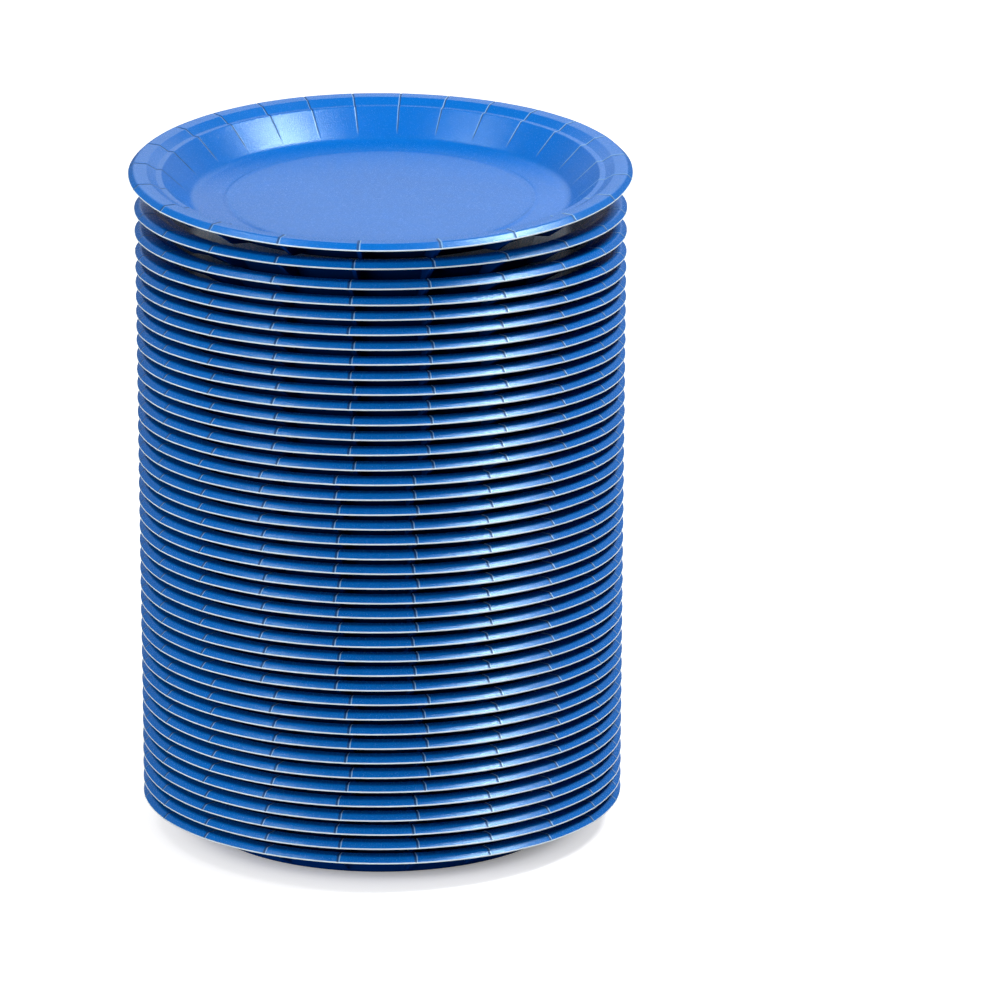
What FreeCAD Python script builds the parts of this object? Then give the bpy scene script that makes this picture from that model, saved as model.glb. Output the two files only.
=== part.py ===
import FreeCAD, Part
import math
import os

from FreeCAD import Placement, Rotation, Vector

# A stack of round pressed paper plates, one nested in the next.
# Millimetres. +Z is up, the origin is the centre of the face the stack rests on, and -Y is the front.
# Every plate is one sheet of board, pressed into a dish with a stepped rim and a
# turned-down lip. The spare board is gathered into radial folds under the wall and
# the rim, and those folds carry each plate on the ridge of the one below.

# The board
board = 0.6                 # thickness of the sheet

# Section of a pressed plate: its upper face, from the flat floor outwards
foot_radius = 67.0          # where the wall would meet the flat floor
foot_bevel = 2.3            # bevel at that corner, measured along the floor and the wall
wall_run = 9.1              # how far the wall leans out
ridge_height = 10.6         # top of the wall over the table
ledge_width = 2.0           # level ledge outside the ridge
step_run = 3.3              # step between the ledge and the rim
step_rise = 2.0
rim_width = 4.6             # rim, up to where it would meet the lip
rim_rise = 0.3
lip_run = 2.0               # turned-down lip, out to the edge of the plate
lip_drop = 1.9
lip_bevel = 1.3             # bevel over the lip, measured along the rim and the lip

# The bead pressed into the floor
bead_inset = 12.0           # middle of the bead, in from the foot of the wall
bead_width = 2.4
bead_height = 0.25

# The folds
fold_count = 24
fold_boards = 2             # a fold is the sheet pinched double
fold_drop = 4.385           # how far a fold hangs below the sheet under the ridge
fold_foot = 1.6             # height over the table where a fold begins
fold_lip_gap = 0.8          # how far it stops short of the lip's edge
fold_crowding = 12.0        # degrees by which the folds crowd to the back of a plate

# The stack
rest_gap = 0.3              # clearance between a fold and the ridge it rests on
turn_drift = 0.6            # degrees of slight turn from plate to plate

# Bundles from the bottom up: how many plates, and the turn of their folds in degrees
bundles = [(5, -98.9), (7, -96.5), (15, -99.0), (14, -95.4), (1, -93.0)]

# The loose plates at the top, from the lowest of them up. Each leans forward by some degrees
# more than the one below, and its folds have sprung open a little, as less weight is on them.
lean_steps = [0.45, 1.25, 0.95, 4.0]
fold_springs = [0.0, 0.7, 1.8, 2.4]
open_spread = 1.8           # the uppermost plate holds none, and its rim opens by this much


def wall_angle(spread):
    """Slope of the wall from the horizontal, in radians."""
    return math.atan2(ridge_height - board, wall_run + spread)


def bevelled(before, corner, after, size):
    """Two points that take the place of a corner, each at a distance from it."""
    corner = Vector(*corner)
    back = (Vector(*before) - corner).normalize() * size
    ahead = (Vector(*after) - corner).normalize() * size
    return [tuple(corner + back), tuple(corner + ahead)]


def ridge_radius(spread):
    """Radius of the top of the wall."""
    return foot_radius + wall_run + spread


def section(spread):
    """Corners of the upper face in the XZ plane, from the middle out."""
    bead = foot_radius - bead_inset
    bead_out = (bead + bead_width / 2, 0, board)
    foot = (foot_radius, 0, board)
    ridge = (ridge_radius(spread), 0, ridge_height)
    ledge = (ridge[0] + ledge_width, 0, ridge_height)
    crease = (ledge[0] + step_run, 0, ridge_height + step_rise)
    crown = (crease[0] + rim_width, 0, crease[2] + rim_rise)
    lip = (crown[0] + lip_run, 0, crown[2] - lip_drop)
    corners = [(0, 0, board), (bead - bead_width / 2, 0, board)]
    corners += [(bead, 0, board + bead_height), bead_out]
    corners += bevelled(bead_out, foot, ridge, foot_bevel)
    corners += [ridge, ledge, crease]
    corners += bevelled(crease, crown, lip, lip_bevel)
    corners.append(lip)
    return [Vector(*corner) for corner in corners]


def sunk(corners, depth):
    """The same corners, moved square to the sheet to a depth below its upper face."""
    moved = []
    last = len(corners) - 1
    for index, corner in enumerate(corners):
        before = corners[index - 1] if index else None
        after = corners[index + 1] if index < last else None
        angle_in = math.atan2(corner.z - before.z, corner.x - before.x) if before else None
        angle_out = math.atan2(after.z - corner.z, after.x - corner.x) if after else angle_in
        if angle_in is None:
            angle_in = angle_out
        middle = (angle_in + angle_out) / 2
        reach = depth / math.cos((angle_out - angle_in) / 2)
        moved.append(corner + Vector(math.sin(middle), 0, -math.cos(middle)) * reach)
    return moved


def closed_face(corners):
    """A flat face bounded by straight edges through the corners."""
    return Part.Face(Part.makePolygon(corners + corners[:1]))


def pressed_sheet(spread):
    """The sheet without its folds: its thin section turned about the axis."""
    upper = section(spread)
    lower = sunk(upper, board)
    return closed_face(upper + lower[::-1]).revolve(Vector(0, 0, 0), Vector(0, 0, 1), 360)


def fold_start(spread):
    """Where the free edge of a fold leaves the middle of the wall, near its foot."""
    slope = wall_angle(spread)
    depth = board / 2
    along = (fold_foot - board + depth * math.cos(slope)) / math.sin(slope)
    return Vector(foot_radius + depth * math.sin(slope) + along * math.cos(slope), 0, fold_foot)


def fold_tip(spread, drop):
    """Lowest point of a fold under the ridge, where it rests on the plate below."""
    return Vector(ridge_radius(spread), 0, ridge_height - board - drop)


def fold_blank(spread, drop):
    """One fold on the +X side: a web of pinched sheet across the corner under the ridge."""
    start = fold_start(spread)
    middle = sunk(section(spread), board / 2)
    over = [corner for corner in middle if corner.x > start.x]
    crown, lip = over[-2], over[-1]
    end = lip + (crown - lip).normalize() * fold_lip_gap
    width = fold_boards * board
    web = closed_face([start] + over[:-1] + [end, fold_tip(spread, drop)])
    blank = web.extrude(Vector(0, width, 0))
    blank.translate(Vector(0, -width / 2, 0))
    return blank


def fold_turns():
    """Directions of the folds in degrees; they crowd together on the side away from 0."""
    turns = []
    for index in range(fold_count):
        even = 360.0 * index / fold_count
        turns.append(even + fold_crowding * math.sin(math.radians(even)))
    return turns


def pressed_plate(spread, drop):
    """A whole plate with its folds, resting on z = 0, its widest fold spacing towards +X."""
    blank = fold_blank(spread, drop)
    folds = []
    for turn in fold_turns():
        fold = blank.copy()
        fold.rotate(Vector(0, 0, 0), Vector(0, 0, 1), turn)
        folds.append(fold)
    plate = pressed_sheet(spread).fuse(folds)
    return plate.Solids[0]


def seat_lift(spread, drop, lean):
    """Height of a plate over a closed one, with its front folds on the ridge of that one."""
    tip = math.radians(lean)
    ends = []
    for point in (fold_start(spread), fold_tip(spread, drop)):
        radius = point.x * math.cos(tip) + point.z * math.sin(tip)
        height = point.z * math.cos(tip) - point.x * math.sin(tip)
        ends.append((radius, height))
    (low_radius, low_height), (tip_radius, tip_height) = ends
    climb = (tip_height - low_height) / (tip_radius - low_radius)
    edge_height = tip_height + climb * (ridge_radius(0) - tip_radius)
    return ridge_height + rest_gap - edge_height


def stack():
    """Every plate in its place, from the bottom up, as name and solid."""
    turns = [turn for count, turn in bundles for _ in range(count)]
    level = len(turns) - len(lean_steps)
    leans = [0.0] * level + lean_steps
    springs = [0.0] * level + fold_springs
    place = Placement()
    pressed = {}
    plates = []
    for index, turn in enumerate(turns):
        uppermost = index == len(turns) - 1
        spread = open_spread if uppermost else 0.0
        drop = fold_drop + springs[index]
        if (spread, drop) not in pressed:
            pressed[spread, drop] = pressed_plate(spread, drop)
        if index:
            lean = Rotation(Vector(1, 0, 0), leans[index])
            lift = seat_lift(spread, drop, leans[index])
            place = place.multiply(Placement(Vector(0, 0, lift), lean))
        own_turn = Rotation(Vector(0, 0, 1), turn + turn_drift * math.sin(2.4 * index))
        plate = pressed[spread, drop].copy()
        plate.Placement = place.multiply(Placement(Vector(), own_turn))
        plates.append((f"plate_{index + 1:02d}", plate))
    return plates


os.makedirs("parts", exist_ok=True)
for name, plate in stack():
    plate.exportStep(f"parts/{name}.step")
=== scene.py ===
import math

import bmesh
import bpy
import numpy as np
from mathutils import Matrix, Vector


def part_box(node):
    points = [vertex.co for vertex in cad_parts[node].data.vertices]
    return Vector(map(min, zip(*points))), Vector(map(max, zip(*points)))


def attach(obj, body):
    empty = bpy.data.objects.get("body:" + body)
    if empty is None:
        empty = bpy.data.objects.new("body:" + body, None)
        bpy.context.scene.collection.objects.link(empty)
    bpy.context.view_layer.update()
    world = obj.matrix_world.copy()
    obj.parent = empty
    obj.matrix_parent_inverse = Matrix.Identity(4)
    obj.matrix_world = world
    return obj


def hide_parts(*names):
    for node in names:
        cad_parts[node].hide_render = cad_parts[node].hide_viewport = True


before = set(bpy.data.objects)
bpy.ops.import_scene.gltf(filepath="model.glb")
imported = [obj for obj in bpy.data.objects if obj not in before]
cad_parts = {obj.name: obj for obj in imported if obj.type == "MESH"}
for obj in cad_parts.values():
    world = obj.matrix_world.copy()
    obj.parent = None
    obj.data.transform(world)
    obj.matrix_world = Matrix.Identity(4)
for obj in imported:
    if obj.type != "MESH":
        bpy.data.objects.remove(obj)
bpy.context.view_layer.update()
print("frame loaded:", len(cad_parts), "plates")


def fromMm(value):
    return value / 1000.0


def deselectAll():
    if bpy.context.mode != "OBJECT":
        bpy.ops.object.mode_set(mode="OBJECT")
    bpy.ops.object.select_all(action="DESELECT")


def makeActive(piece):
    deselectAll()
    piece.select_set(True)
    bpy.context.view_layer.objects.active = piece


def feed(links, slot, value):
    # a node's socket takes a plain value or a link from another node
    if isinstance(value, (int, float, tuple)):
        slot.default_value = value
    else:
        links.new(value, slot)


# one pressed plate in millimetres; edgeRoll and the width of the pale band beside the cut edge are
# shares of edgeRound, and smoothAngle is in degrees; that pale band is painted glare on the upper
# face
plateSizes = {
    "board": 0.6,
    "footRadius": 67.0,
    "footRound": 5.0,
    "ridgeRadius": 76.1,
    "ridgeHeight": 10.6,
    "ridgeRound": 1.0,
    "ledgeWidth": 2.0,
    "ledgeRound": 0.5,
    "creaseRadius": 81.4,
    "stepRise": 2.0,
    "creaseRound": 1.2,
    "crownRadius": 86.0,
    "crownRise": 0.3,
    "crownRound": 1.5,
    "lipRadius": 88.0,
    "lipDrop": 1.9,
    "edgeRound": 0.12,
    "edgeRoll": 0.3,
    "edgeGlareWidth": 2.4,
    "beadRadius": 55.0,
    "beadWidth": 2.4,
    "beadHeight": 0.36,
    "beadRound": 0.8,
    "floorRing": 24.0,
    "mergeGap": 0.004,
    "smoothAngle": 34.0,
}

# its folds in millimetres; crowding is in degrees, and the eases and reaches are shares
foldSizes = {
    "count": 24,
    "crowding": 12.0,
    "width": 1.2,
    "drop": 4.385,
    "footHeight": 1.6,
    "lipGap": 0.8,
    "creaseDepth": 0.3,
    "creaseWidth": 0.5,
    "creaseStart": 2.0,
    "creaseEase": 0.55,
    "creaseReach": 0.5,
    "webReach": 1.1,
    "webEase": 1.6,
    "fineSpans": 9,
    "nestedSpans": 5,
}

# bundles as a count of plates and the turn of their folds; turns and leans are in degrees,
# driftStep and waveDrift in radians from plate to plate, the rest in millimetres
stackSizes = {
    "bundles": [(5, -98.9), (7, -96.5), (15, -99.0), (14, -95.4), (1, -93.0)],
    "drift": 0.6,
    "driftStep": 2.4,
    "leanSteps": [0.45, 1.25, 0.95, 4.0],
    "foldSprings": [0.0, 0.7, 1.8, 2.4],
    "openSpread": 1.8,
    "wave": 0.1,
    "waveDrift": 0.35,
    "ripple": 0.05,
    "panelDip": 0.08,
    "stiffRadius": 10.0,
}


def roundCorner(before, corner, after, radius, steps):
    toBefore = (before - corner).normalized()
    toAfter = (after - corner).normalized()
    half = toBefore.angle(toAfter) / 2
    if radius <= 0 or half > math.radians(89.5):
        return [corner]
    centre = corner + (toBefore + toAfter).normalized() * (radius / math.sin(half))
    startPoint = corner + toBefore * (radius / math.tan(half))
    endPoint = corner + toAfter * (radius / math.tan(half))
    points = []
    for step in range(steps + 1):
        toward = startPoint.lerp(endPoint, step / steps) - centre
        points.append(centre + toward.normalized() * radius)
    return points


def upperPath(spread, fine):
    # each corner of the upper face: its radius, height, round and the steps of that round
    size = plateSizes
    floor = size["board"]
    ridge = size["ridgeRadius"] + spread
    ledge = size["ridgeRadius"] + size["ledgeWidth"] + spread
    creaseHeight = size["ridgeHeight"] + size["stepRise"]
    crownHeight = creaseHeight + size["crownRise"]
    halfBead = size["beadWidth"] / 2
    corners = [
        (0, floor, 0, 0),
        (size["footRadius"] - size["floorRing"], floor, 0, 0),
        (size["beadRadius"] - halfBead, floor, size["beadRound"], 2),
        (size["beadRadius"], floor + size["beadHeight"], size["beadRound"], 3),
        (size["beadRadius"] + halfBead, floor, size["beadRound"], 2),
        (size["footRadius"], floor, size["footRound"], 6),
        (ridge, size["ridgeHeight"], size["ridgeRound"], 3),
        (ledge, size["ridgeHeight"], size["ledgeRound"], 2),
        (size["creaseRadius"] + spread, creaseHeight, size["creaseRound"], 3),
        (size["crownRadius"] + spread, crownHeight, size["crownRound"], 7),
        (size["lipRadius"] + spread, crownHeight - size["lipDrop"], 0, 0),
    ]
    flat = [Vector((x, 0, z)) for x, z, radius, steps in corners]
    path = [flat[0]]
    for index in range(1, len(corners) - 1):
        radius, steps = corners[index][2:]
        steps = steps if fine else max(1, steps // 2 + 1)
        path += roundCorner(flat[index - 1], flat[index], flat[index + 1], radius, steps)
    path.append(flat[-1])
    return path


def sideOf(path, index):
    # the way from the upper face to the lower one, stretched at a corner so the board stays even
    before = path[max(index - 1, 0)]
    after = path[min(index + 1, len(path) - 1)]
    if index in (0, len(path) - 1):
        along = (after - before).normalized()
        return Vector((along.z, 0, -along.x))
    first = (path[index] - before).normalized()
    second = (after - path[index]).normalized()
    middle = (first + second).normalized()
    return Vector((middle.z, 0, -middle.x)) / max(middle.dot(first), 0.5)


def sheetPath(spread, fine):
    # both faces, joined by a cut edge with its two arrises just taken off
    upper = upperPath(spread, fine)
    board = plateSizes["board"]
    lower = [point + sideOf(upper, index) * board for index, point in enumerate(upper)]
    nip = plateSizes["edgeRound"]
    roll = plateSizes["edgeRoll"]
    upAlong = (upper[-2] - upper[-1]).normalized()
    across = (lower[-1] - upper[-1]).normalized()
    rolled = [
        upper[-1] + upAlong * nip,
        upper[-1] + (upAlong + across) * nip * roll,
        upper[-1] + across * nip,
    ]
    rolledUnder = [
        lower[-1] - across * nip,
        lower[-1] + (upAlong - across) * nip * roll,
        lower[-1] + upAlong * nip,
    ]
    # a pale band on the upper face beside the cut edge takes the edge's white finish, painted
    # glare that widens the lit edge
    glareRing = upper[-1] + upAlong * nip * plateSizes["edgeGlareWidth"]
    upper = upper[:-1] + [glareRing] + rolled
    lower = rolledUnder + lower[:-1][::-1]
    return upper, lower


def foldTurns():
    # the folds crowd together on the side away from the first one
    turns = []
    for index in range(foldSizes["count"]):
        even = 360.0 * index / foldSizes["count"]
        turns.append(even + foldSizes["crowding"] * math.sin(math.radians(even)))
    return turns + [360.0]


def foldHalves():
    # half the width of a crease and of a web, in degrees
    crease = math.degrees(foldSizes["creaseWidth"] / plateSizes["crownRadius"])
    web = math.degrees(foldSizes["width"] / 2 / plateSizes["ridgeRadius"])
    return crease, web


def webHeight(spread, drop, radius):
    # lower edge of a fold under the sheet at that radius, or None where there is none
    size = plateSizes
    board = size["board"]
    foot = foldSizes["footHeight"]
    wallRun = size["ridgeRadius"] + spread - size["footRadius"]
    slope = math.atan2(size["ridgeHeight"] - board, wallRun)
    along = (foot - board + board / 2 * math.cos(slope)) / math.sin(slope)
    startRadius = size["footRadius"] + board / 2 * math.sin(slope) + along * math.cos(slope)
    tipRadius = size["ridgeRadius"] + spread
    tipHeight = size["ridgeHeight"] - board - drop
    crownHeight = size["ridgeHeight"] + size["stepRise"] + size["crownRise"]
    crown = Vector((size["crownRadius"] + spread, crownHeight))
    lip = Vector((size["lipRadius"] + spread, crown.y - size["lipDrop"]))
    inward = (crown - lip).normalized()
    end = lip + inward * foldSizes["lipGap"] + Vector((-inward.y, inward.x)) * board / 2
    if radius <= startRadius or radius >= end.x:
        return None
    if radius < tipRadius:
        share = (radius - startRadius) / (tipRadius - startRadius)
        return foot + (tipHeight - foot) * share
    share = (radius - tipRadius) / (end.x - tipRadius)
    return tipHeight + (end.y - tipHeight) * share


def creaseShare(radius, spread):
    # how deep the crease of a fold is pressed, growing up the wall and easing off over the lip
    foot = plateSizes["footRadius"] + foldSizes["creaseStart"]
    ridge = plateSizes["ridgeRadius"] + spread
    lip = plateSizes["lipRadius"] + spread
    if radius <= foot:
        return 0.0
    if radius < ridge:
        return (radius - foot) / (ridge - foot)
    return 1.0 - foldSizes["creaseEase"] * (radius - ridge) / (lip - ridge)


def pressPlate(name, spread, fine, turns):
    upper, lower = sheetPath(spread, fine)
    path = upper + lower
    deselectAll()
    # the section starts from one vertex and is drawn out point by point
    bpy.ops.mesh.primitive_circle_add(vertices=3, radius=fromMm(1), fill_type="NOTHING")
    plate = bpy.context.object
    plate.name = name
    bpy.ops.object.mode_set(mode="EDIT")
    bpy.ops.mesh.select_all(action="DESELECT")
    shell = bmesh.from_edit_mesh(plate.data)
    shell.verts.ensure_lookup_table()
    for extra in shell.verts[1:]:
        extra.select = True
    bmesh.update_edit_mesh(plate.data)
    bpy.ops.mesh.delete(type="VERT")
    bpy.ops.mesh.select_all(action="SELECT")
    shell = bmesh.from_edit_mesh(plate.data)
    shell.verts.ensure_lookup_table()
    start = shell.verts[0].co.copy()
    bpy.ops.transform.translate(value=path[0] / 1000.0 - start)
    for index in range(1, len(path)):
        step = (path[index] - path[index - 1]) / 1000.0
        bpy.ops.mesh.extrude_region_move(TRANSFORM_OT_translate={"value": step})
    # each ring remembers its place along the section, also after the spins
    shell = bmesh.from_edit_mesh(plate.data)
    ring = shell.verts.layers.int.new("ring")
    shell.verts.ensure_lookup_table()
    for vert in shell.verts:
        gaps = [(vert.co - point / 1000.0).length for point in path]
        vert[ring] = gaps.index(min(gaps))
    # the start column lies on a fold, and the sheet is spun from fold to fold
    halfCrease, halfWeb = foldHalves()
    inner = [halfCrease, halfWeb, halfWeb * foldSizes["webEase"]]
    spans = foldSizes["fineSpans"] if fine else foldSizes["nestedSpans"]
    bpy.ops.mesh.select_all(action="SELECT")
    for index in range(foldSizes["count"]):
        gap = turns[index + 1] - turns[index]
        free = gap - 2 * inner[-1]
        stops = inner + [inner[-1] + free * part / spans for part in range(1, spans)]
        stops += [gap - offset for offset in reversed(inner)] + [gap]
        at = 0.0
        for stop in stops:
            turn = math.radians(stop - at)
            bpy.ops.mesh.spin(steps=1, angle=turn, center=(0, 0, 0), axis=(0, 0, 1))
            at = stop
    bpy.ops.mesh.select_all(action="SELECT")
    bpy.ops.mesh.remove_doubles(threshold=fromMm(plateSizes["mergeGap"]))
    bpy.ops.mesh.normals_make_consistent(inside=False)
    return plate, upper, lower


def foldOffset(co, turns):
    angle = math.degrees(math.atan2(co.y, co.x)) % 360.0
    return min(abs(angle - turn) for turn in turns)


def pressFolds(plate, spread, drop, upper, lower, turns):
    # every move: the ring, how far down it goes at a fold, and how wide of the fold in degrees
    halfCrease, halfWeb = foldHalves()
    moves = []
    for index, point in enumerate(upper):
        depth = foldSizes["creaseDepth"] * creaseShare(point.x, spread)
        moves.append((index, depth, halfCrease * foldSizes["creaseReach"]))
    for index, point in enumerate(lower):
        height = webHeight(spread, drop, point.x)
        if height is not None and height < point.z:
            reach = halfWeb * foldSizes["webReach"]
            moves.append((len(upper) + index, point.z - height, reach))
    shell = bmesh.from_edit_mesh(plate.data)
    ring = shell.verts.layers.int["ring"]
    rings = {}
    for vert in shell.verts:
        rings.setdefault(vert[ring], []).append(vert)
    for index, depth, reach in moves:
        if depth <= 0 or index not in rings:
            continue
        bpy.ops.mesh.select_all(action="DESELECT")
        for vert in rings[index]:
            vert.select = foldOffset(vert.co, turns) < reach
        shell.select_flush(True)
        bmesh.update_edit_mesh(plate.data)
        bpy.ops.transform.translate(value=(0, 0, -fromMm(depth)))


def markFaces(plate, upper, lower):
    # the cut edge and the pale band beside it, painted glare, take the pale finish; the under face
    # takes the darker, dull one, painted shade
    shell = bmesh.from_edit_mesh(plate.data)
    ring = shell.verts.layers.int["ring"]
    firstPale = len(upper) - 4
    lastPale = len(upper) + 2
    lastUnder = len(upper) + len(lower)
    bpy.ops.mesh.select_mode(type="FACE")
    for slot, first, last in ((1, firstPale, lastPale), (2, lastPale, lastUnder)):
        bpy.ops.mesh.select_all(action="DESELECT")
        for face in shell.faces:
            face.select = all(first <= vert[ring] <= last for vert in face.verts)
        bmesh.update_edit_mesh(plate.data)
        plate.active_material_index = slot
        bpy.ops.object.material_slot_assign()
    bpy.ops.mesh.select_mode(type="VERT")


def foldCount(angle, turns):
    # how many folds lie between the first one and this angle, with the share of the last gap
    if angle < 0:
        return angle / (360.0 - turns[-2])
    if angle > 360.0:
        return foldSizes["count"] + (angle - 360.0) / turns[1]
    for index in range(foldSizes["count"]):
        if angle <= turns[index + 1]:
            return index + (angle - turns[index]) / (turns[index + 1] - turns[index])
    return float(foldSizes["count"])


def mapPress(plate, turns):
    # across the map runs the count of folds, up it the distance from the axis in tenths of a metre
    mesh = plate.data
    layer = mesh.uv_layers.new(name="press")
    for face in mesh.polygons:
        middle = math.degrees(math.atan2(face.center.y, face.center.x)) % 360.0
        for corner in face.loop_indices:
            co = mesh.vertices[mesh.loops[corner].vertex_index].co
            radius = math.hypot(co.x, co.y)
            angle = math.degrees(math.atan2(co.y, co.x)) % 360.0 if radius > 1e-5 else middle
            angle += 360.0 * round((middle - angle) / 360.0)
            layer.data[corner].uv = (foldCount(angle, turns), radius * 10.0)


# the printed board; creaseStart is in the map's tenths of a metre, bumpDistance in metres, and
# the places and widths of a fold's marks are in millimetres on the rim
boardSurface = {
    "mottleSize": 260.0,
    "broadSize": 22.0,
    "noiseRoughness": 0.55,
    "foldSpacing": 22.0,
    "creaseStart": 0.690,
    "creaseGrowth": 40.0,
    "flankPlace": 0.42,
    "flankWidth": 0.10,
    "flankWobble": 0.20,
    "flankEdge": 9.0,
    "coreWidth": 0.42,
    "coreShift": 0.08,
    "coreEdge": 6.0,
    # the dark core of a fold's crease is painted shade
    "creaseShadeColour": (0.0, 0.02, 0.10, 1.0),
    "coreRoughness": 0.4,
    "shadeSpan": 0.16,
    "shadeLow": 0.84,
    "grainRoughness": 0.12,
    "mottleHeight": 0.12,
    "bumpDistance": 0.00007,
}


def buildBoardGroup():
    look = boardSurface
    group = bpy.data.node_groups.new("pressedBoard", "ShaderNodeTree")
    sockets = (
        ("Colour", "INPUT", "Color"),
        ("Crease Colour", "INPUT", "Color"),
        ("Grain Size", "INPUT", "Float"),
        ("Wear And Shade", "INPUT", "Float"),
        ("Satin", "INPUT", "Float"),
        ("Colour", "OUTPUT", "Color"),
        ("Roughness", "OUTPUT", "Float"),
        ("Height", "OUTPUT", "Float"),
    )
    for name, side, kind in sockets:
        group.interface.new_socket(name=name, in_out=side, socket_type="NodeSocket" + kind)
    nodes, links = group.nodes, group.links
    entry = nodes.new("NodeGroupInput").outputs
    leave = nodes.new("NodeGroupOutput").inputs
    place = nodes.new("ShaderNodeTexCoord")
    press = nodes.new("ShaderNodeUVMap")
    press.uv_map = "press"
    apart = nodes.new("ShaderNodeSeparateXYZ")
    links.new(press.outputs["UV"], apart.inputs["Vector"])

    def calc(operation, *values, clamp=False):
        node = nodes.new("ShaderNodeMath")
        node.operation = operation
        node.use_clamp = clamp
        for slot, value in zip(node.inputs, values):
            feed(links, slot, value)
        return node.outputs[0]

    def noise(scale, detail):
        node = nodes.new("ShaderNodeTexNoise")
        node.inputs["Detail"].default_value = detail
        node.inputs["Roughness"].default_value = look["noiseRoughness"]
        feed(links, node.inputs["Scale"], scale)
        links.new(place.outputs["Object"], node.inputs["Vector"])
        return node.outputs["Fac"]

    def mixed(factor, first, second, blend="MIX"):
        node = nodes.new("ShaderNodeMix")
        node.data_type = "RGBA"
        node.blend_type = blend
        for slot, value in ((0, factor), (6, first), (7, second)):
            feed(links, node.inputs[slot], value)
        return node.outputs[2]

    grain = noise(entry["Grain Size"], 2.0)
    mottle = noise(look["mottleSize"], 3.0)
    broad = noise(look["broadSize"], 2.0)
    # millimetres from the nearest fold, as one fold's spacing is about 22 mm on the rim
    part = calc("FRACT", calc("ADD", apart.outputs["X"], 0.5))
    off = calc("MULTIPLY", calc("SUBTRACT", part, 0.5), look["foldSpacing"])
    outward = calc("SUBTRACT", apart.outputs["Y"], look["creaseStart"])
    started = calc("MULTIPLY", outward, look["creaseGrowth"], clamp=True)
    wearAndShade = calc("MULTIPLY", started, entry["Wear And Shade"])
    # a fold shows a dark core, painted shade in its crease, and, on one side of it, a worn pale
    # flank
    wobble = calc("MULTIPLY_ADD", mottle, look["flankWobble"], look["flankWidth"])
    fromFlank = calc("ABSOLUTE", calc("SUBTRACT", off, look["flankPlace"]))
    flank = calc("SUBTRACT", wobble, fromFlank)
    flank = calc("MULTIPLY", flank, look["flankEdge"], clamp=True)
    worn = calc("MULTIPLY", flank, wearAndShade, clamp=True)
    fromCore = calc("ABSOLUTE", calc("ADD", off, look["coreShift"]))
    core = calc("SUBTRACT", look["coreWidth"], fromCore)
    core = calc("MULTIPLY", core, look["coreEdge"], clamp=True)
    paintedCreaseShade = calc("MULTIPLY", core, wearAndShade, clamp=True)

    uneven = calc("ADD", mottle, broad)
    shade = calc("MULTIPLY_ADD", uneven, look["shadeSpan"], look["shadeLow"])
    tone = nodes.new("ShaderNodeCombineColor")
    for channel in tone.inputs:
        links.new(shade, channel)
    printed = mixed(1.0, entry["Colour"], tone.outputs["Color"], "MULTIPLY")
    printed = mixed(paintedCreaseShade, printed, look["creaseShadeColour"])
    links.new(mixed(worn, printed, entry["Crease Colour"]), leave["Colour"])
    satin = calc("MULTIPLY_ADD", grain, look["grainRoughness"], entry["Satin"])
    satin = calc("MULTIPLY_ADD", paintedCreaseShade, look["coreRoughness"], satin)
    links.new(satin, leave["Roughness"])
    links.new(calc("MULTIPLY_ADD", mottle, look["mottleHeight"], grain), leave["Height"])
    return group


def boardMaterial(name, group, look):
    material = bpy.data.materials.new(name)
    material.use_nodes = True
    nodes, links = material.node_tree.nodes, material.node_tree.links
    shader = nodes["Principled BSDF"]
    board = nodes.new("ShaderNodeGroup")
    board.node_tree = group
    board.inputs["Colour"].default_value = look["colour"]
    board.inputs["Crease Colour"].default_value = look["creaseColour"]
    board.inputs["Grain Size"].default_value = look["grainSize"]
    board.inputs["Wear And Shade"].default_value = look["wearAndShade"]
    board.inputs["Satin"].default_value = look["satin"]
    bump = nodes.new("ShaderNodeBump")
    bump.inputs["Strength"].default_value = look["bump"]
    bump.inputs["Distance"].default_value = boardSurface["bumpDistance"]
    links.new(board.outputs["Height"], bump.inputs["Height"])
    links.new(bump.outputs["Normal"], shader.inputs["Normal"])
    links.new(board.outputs["Colour"], shader.inputs["Base Color"])
    links.new(board.outputs["Roughness"], shader.inputs["Roughness"])
    shader.inputs["Specular IOR Level"].default_value = look["specular"]
    shader.inputs["Specular Tint"].default_value = look["sheenTint"]
    return material


boardLook = {
    "colour": (0.0, 0.19, 0.73, 1.0),
    "creaseColour": (0.45, 0.74, 1.0, 1.0),
    "grainSize": 2300.0,
    # scales both a fold's worn pale flank and its dark core of painted shade
    "wearAndShade": 0.7,
    "satin": 0.20,
    "bump": 1.0,
    "specular": 0.9,
    "sheenTint": (0.60, 0.88, 1.0, 1.0),
}
# little light reaches the under face, so its colour is a much darker blue as painted shade, and
# its ink is dull
shadedUnderLook = {
    "colour": (0.0, 0.03, 0.18, 1.0),
    "creaseColour": (0.0, 0.06, 0.3, 1.0),
    "grainSize": 1250.0,
    "wearAndShade": 0.0,
    "satin": 0.6,
    "bump": 0.4,
    "specular": 0.0,
    "sheenTint": (0.6, 0.85, 1.0, 1.0),
}
# the cut edge is the board's white core, with a blue tint that is painted light bounced off the
# blue plates
edgeLook = {
    "colour": (0.80, 0.94, 1.0, 1.0),
    "creaseColour": (0.85, 0.93, 1.0, 1.0),
    "grainSize": 2200.0,
    "wearAndShade": 0.0,
    "satin": 0.5,
    "bump": 0.2,
    "specular": 0.1,
    "sheenTint": (1.0, 1.0, 1.0, 1.0),
}

boardGroup = buildBoardGroup()
# in the order of their slots on a plate
boardFinishes = [
    boardMaterial("blueBoard", boardGroup, boardLook),
    boardMaterial("cutBoard", boardGroup, edgeLook),
    boardMaterial("shadedUnderBoard", boardGroup, shadedUnderLook),
]
print("finishes made")


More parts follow.
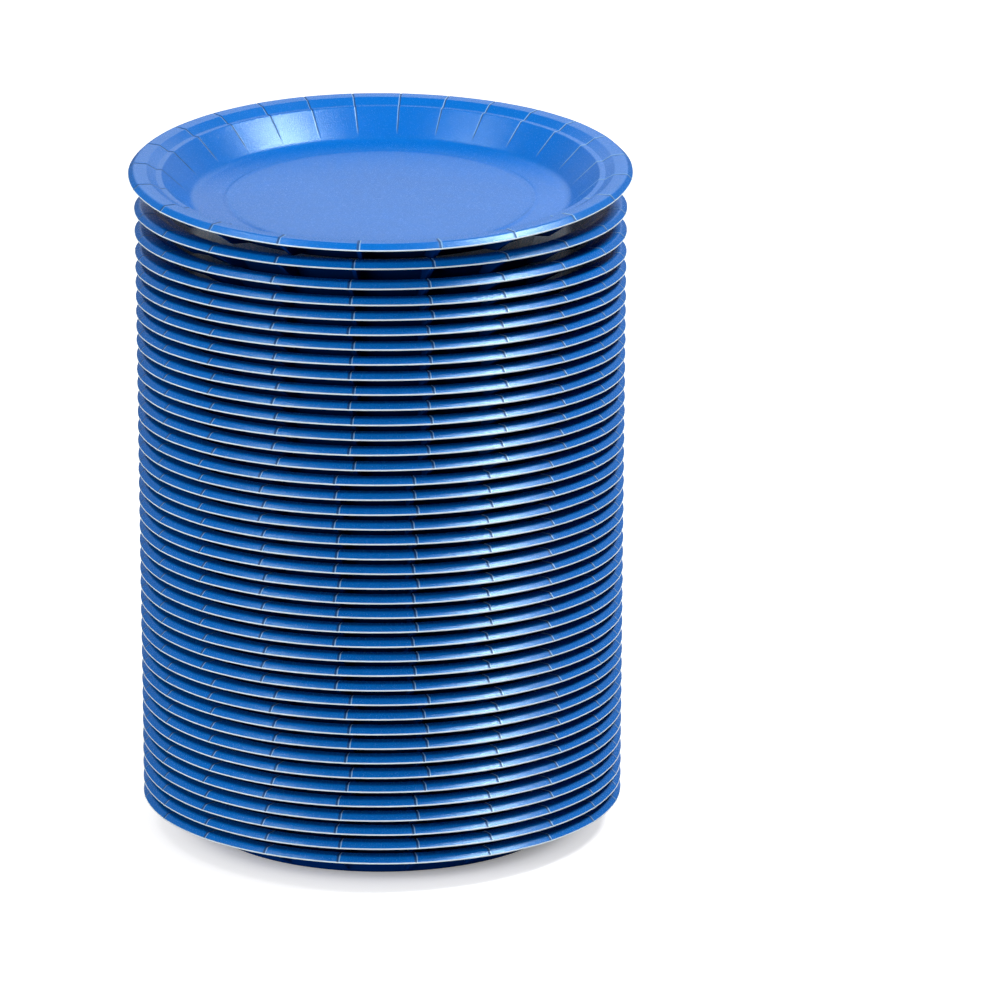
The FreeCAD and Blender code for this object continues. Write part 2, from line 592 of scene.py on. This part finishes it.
def finishPlate(name, spread, drop, fine, turns):
    plate, upper, lower = pressPlate(name, spread, fine, turns)
    pressFolds(plate, spread, drop, upper, lower, turns)
    for finish in boardFinishes:
        plate.data.materials.append(finish)
    markFaces(plate, upper, lower)
    bpy.ops.object.mode_set(mode="OBJECT")
    mapPress(plate, turns)
    bpy.ops.object.shade_smooth_by_angle(angle=math.radians(plateSizes["smoothAngle"]))
    print(name, len(plate.data.polygons), "faces")
    return plate


def waveOf(index, angle):
    # no pressed plate is quite level round its rim, and neighbours lie alike
    slow = stackSizes["waveDrift"] * index
    wave = np.sin(2 * angle + slow) + 0.6 * np.sin(3 * angle - 1.7 * slow + 1.0)
    ripple = np.sin(5 * angle + 2.1 * index)
    return stackSizes["wave"] * wave + stackSizes["ripple"] * ripple


def bendPlate(plate, index, turn, turns):
    # the panels between the folds are a little flatter than the round, and the rim waves
    mesh = plate.data
    co = np.empty(len(mesh.vertices) * 3, np.float32)
    mesh.vertices.foreach_get("co", co)
    co = co.reshape(-1, 3)
    radius = np.hypot(co[:, 0], co[:, 1])
    angle = np.arctan2(co[:, 1], co[:, 0])
    share = np.interp(np.degrees(angle) % 360.0, turns, np.arange(len(turns)))
    foot = fromMm(plateSizes["footRadius"])
    reach = fromMm(plateSizes["lipRadius"] - plateSizes["footRadius"])
    out = np.clip((radius - foot) / reach, 0.0, 1.0)
    dip = (0.5 - 0.5 * np.cos(2 * np.pi * share)) * stackSizes["panelDip"] * out
    scale = 1.0 - fromMm(dip) / np.maximum(radius, fromMm(stackSizes["stiffRadius"]))
    co[:, 0] *= scale
    co[:, 1] *= scale
    co[:, 2] += fromMm(waveOf(index, angle + math.radians(turn))) * out ** 2
    mesh.vertices.foreach_set("co", co.ravel())
    mesh.update()
    return co


def masterFor(uppermost, spring, turns, masters):
    # plates with the same opening and the same folds are pressed once
    if (uppermost, spring) not in masters:
        spread = stackSizes["openSpread"] if uppermost else 0.0
        form = "openPlate" if uppermost else "nestedPlate%d" % len(masters)
        drop = foldSizes["drop"] + spring
        masters[uppermost, spring] = finishPlate(form, spread, drop, uppermost, turns)
    return masters[uppermost, spring]


def placePlate(index, total, turns, masters):
    node = "plate_%02d" % (index + 1)
    steps = stackSizes["leanSteps"]
    loose = index - (total - len(steps))
    spring = stackSizes["foldSprings"][loose] if loose >= 0 else 0.0
    master = masterFor(index == total - 1, spring, turns, masters)
    plate = master.copy()
    plate.data = master.data.copy()
    plate.name = "paperPlate%02d" % (index + 1)
    bpy.context.collection.objects.link(plate)
    bundleTurns = [turn for count, turn in stackSizes["bundles"] for _ in range(count)]
    drift = stackSizes["drift"] * math.sin(stackSizes["driftStep"] * index)
    turn = bundleTurns[index] + drift
    co = bendPlate(plate, index, turn, turns)
    lean = sum(steps[: max(0, loose + 1)])
    leaned = Matrix.Rotation(math.radians(lean), 4, "X")
    leaned = leaned @ Matrix.Rotation(math.radians(turn), 4, "Z")
    # it takes the middle of its own solid's box, and stays on its base and under its top
    turned = co @ np.array(leaned.to_3x3()).T
    low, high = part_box(node)
    move = (low + high) / 2 - (Vector(turned.min(0)) + Vector(turned.max(0))) / 2
    if lean == 0:
        move.z = low.z - turned[:, 2].min()
    else:
        move.z = min(move.z, high.z - turned[:, 2].max())
    plate.matrix_world = Matrix.Translation(move) @ leaned
    makeActive(plate)
    bpy.ops.object.transform_apply(location=True, rotation=True, scale=True)
    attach(plate, "root")
    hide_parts(node)


plateCount = sum(count for count, turn in stackSizes["bundles"])
masterTurns = foldTurns()
masterPlates = {}
for plateIndex in range(plateCount):
    placePlate(plateIndex, plateCount, masterTurns, masterPlates)
for master in masterPlates.values():
    bpy.data.objects.remove(master, do_unlink=True)
print("stack built:", plateCount, "plates")


# sizes and places in metres; floorGlow is the glow at each distance from the axis, and each
# ramp runs between two values of a direction
studio = {
    "floorSize": 24.0,
    "floorSink": 0.0002,
    "floorRoughness": 0.9,
    "floorSpecular": 0.05,
    "floorColour": (0.88, 0.88, 0.89, 1.0),
    "floorBounce": (0.80, 0.80, 0.82, 1.0),
    "floorGlow": [(0.068, 0.25), (0.076, 0.60), (0.095, 0.84), (0.21, 1.0)],
    "backStrength": 1.2,
    "frontStrength": 0.06,
    "ceilingStrength": 0.05,
    "lowStrength": 0.15,
    "sideStrength": 0.15,
    "backRamp": (-0.10, 0.60),
    "ceilingRamp": (0.50, 0.74),
    "lowRamp": (0.2, 0.5),
    "sideRamp": (0.2, 0.6),
    "aim": (0, 0, 0.12),
}
# power in watts
softboxes = {
    "keyLight": {"place": (0.76, -0.06, 1.42), "size": 0.4, "power": 16.0},
    "leftLight": {"place": (-0.70, -0.12, 1.42), "size": 0.3, "power": 2.4},
    "fillLight": {"place": (-1.3, -1.7, 0.6), "size": 1.1, "power": 27.0},
}


def buildFloor():
    # the floor keeps the stack's shadow near it; further out a glow seen only by the camera, weak
    # at the stack and rising outward, is painted light that makes it plain white and fades the
    # shadow there
    deselectAll()
    under = (0, 0, -studio["floorSink"])
    bpy.ops.mesh.primitive_plane_add(size=studio["floorSize"], location=under)
    floor = bpy.context.object
    floor.name = "floor"
    bpy.ops.object.transform_apply(location=True, rotation=True, scale=True)
    material = bpy.data.materials.new("paleFloor")
    material.use_nodes = True
    nodes, links = material.node_tree.nodes, material.node_tree.links
    shader = nodes["Principled BSDF"]
    shader.inputs["Roughness"].default_value = studio["floorRoughness"]
    shader.inputs["Specular IOR Level"].default_value = studio["floorSpecular"]
    shader.inputs["Emission Color"].default_value = (1, 1, 1, 1)
    path = nodes.new("ShaderNodeLightPath")
    tone = nodes.new("ShaderNodeMix")
    tone.data_type = "RGBA"
    tone.inputs[6].default_value = studio["floorBounce"]
    tone.inputs[7].default_value = studio["floorColour"]
    links.new(path.outputs["Is Camera Ray"], tone.inputs[0])
    links.new(tone.outputs[2], shader.inputs["Base Color"])
    place = nodes.new("ShaderNodeTexCoord")
    reach = nodes.new("ShaderNodeVectorMath")
    reach.operation = "LENGTH"
    links.new(place.outputs["Object"], reach.inputs[0])
    fade = nodes.new("ShaderNodeValToRGB")
    stops = fade.color_ramp.elements
    for index, (distance, strength) in enumerate(studio["floorGlow"]):
        stop = stops[index] if index < 2 else stops.new(distance)
        stop.position = distance
        stop.color = (strength, strength, strength, 1.0)
    links.new(reach.outputs["Value"], fade.inputs["Fac"])
    glow = nodes.new("ShaderNodeMath")
    glow.operation = "MULTIPLY"
    links.new(path.outputs["Is Camera Ray"], glow.inputs[0])
    links.new(fade.outputs["Color"], glow.inputs[1])
    links.new(glow.outputs[0], shader.inputs["Emission Strength"])
    floor.data.materials.append(material)


def buildWorld():
    # a pale wall behind the stack, a dimmer room round the other sides and overhead
    world = bpy.data.worlds.new("studio")
    bpy.context.scene.world = world
    world.use_nodes = True
    nodes, links = world.node_tree.nodes, world.node_tree.links
    back = nodes["Background"]
    back.inputs["Color"].default_value = (1.0, 1.0, 1.0, 1.0)
    place = nodes.new("ShaderNodeTexCoord")
    apart = nodes.new("ShaderNodeSeparateXYZ")
    links.new(place.outputs["Generated"], apart.inputs["Vector"])

    def ramp(value, span, start, end):
        node = nodes.new("ShaderNodeMapRange")
        node.interpolation_type = "SMOOTHSTEP"
        ends = zip(("From Min", "From Max", "To Min", "To Max"), (*span, start, end))
        for name, number in ends:
            node.inputs[name].default_value = number
        links.new(value, node.inputs["Value"])
        return node.outputs["Result"]

    def calc(operation, *values):
        node = nodes.new("ShaderNodeMath")
        node.operation = operation
        for slot, value in zip(node.inputs, values):
            feed(links, slot, value)
        return node.outputs[0]

    front, rear = studio["frontStrength"], studio["backStrength"]
    wall = ramp(apart.outputs["Y"], studio["backRamp"], front, rear)
    height = ramp(apart.outputs["Z"], studio["ceilingRamp"], 1.0, 0.0)
    low = ramp(apart.outputs["Z"], studio["lowRamp"], studio["lowStrength"], 1.0)
    aside = calc("ABSOLUTE", apart.outputs["X"])
    side = ramp(aside, studio["sideRamp"], 1.0, studio["sideStrength"])
    wall = calc("MULTIPLY", calc("MULTIPLY", wall, low), side)
    lit = calc("MULTIPLY_ADD", wall, height, studio["ceilingStrength"])
    # the camera sees plain white behind the stack
    path = nodes.new("ShaderNodeLightPath").outputs
    seen = calc("MAXIMUM", path["Is Camera Ray"], path["Is Transmission Ray"])
    shown = nodes.new("ShaderNodeMix")
    shown.data_type = "FLOAT"
    links.new(seen, shown.inputs[0])
    links.new(lit, shown.inputs[2])
    shown.inputs[3].default_value = 1.0
    links.new(shown.outputs[0], back.inputs["Strength"])


def addSoftbox(name, setup):
    bpy.ops.object.light_add(type="AREA", location=setup["place"])
    lamp = bpy.context.object
    lamp.name = name
    lamp.data.shape = "SQUARE"
    lamp.data.size = setup["size"]
    lamp.data.energy = setup["power"]
    toward = Vector(studio["aim"]) - Vector(setup["place"])
    lamp.rotation_euler = toward.to_track_quat("-Z", "Y").to_euler()


cameraSetup = {
    "place": (0.0429, -1.6252, 0.5614),
    "tilt": 74.787,
    "roll": 0.242,
    "lens": 167.1,
    "sensor": 36.0,
    "near": 0.05,
    "far": 60.0,
}


def buildCamera():
    bpy.ops.object.camera_add(location=cameraSetup["place"])
    camera = bpy.context.object
    tilt = Matrix.Rotation(math.radians(cameraSetup["tilt"]), 3, "X")
    roll = Matrix.Rotation(math.radians(cameraSetup["roll"]), 3, "Z")
    camera.rotation_euler = (tilt @ roll).to_euler()
    camera.data.sensor_width = cameraSetup["sensor"]
    camera.data.lens = cameraSetup["lens"]
    camera.data.clip_start = cameraSetup["near"]
    camera.data.clip_end = cameraSetup["far"]
    bpy.context.scene.camera = camera


deselectAll()
buildFloor()
buildWorld()
for softboxName, softboxSetup in softboxes.items():
    addSoftbox(softboxName, softboxSetup)
buildCamera()
bpy.context.scene.view_settings.view_transform = "Standard"
print("studio ready")
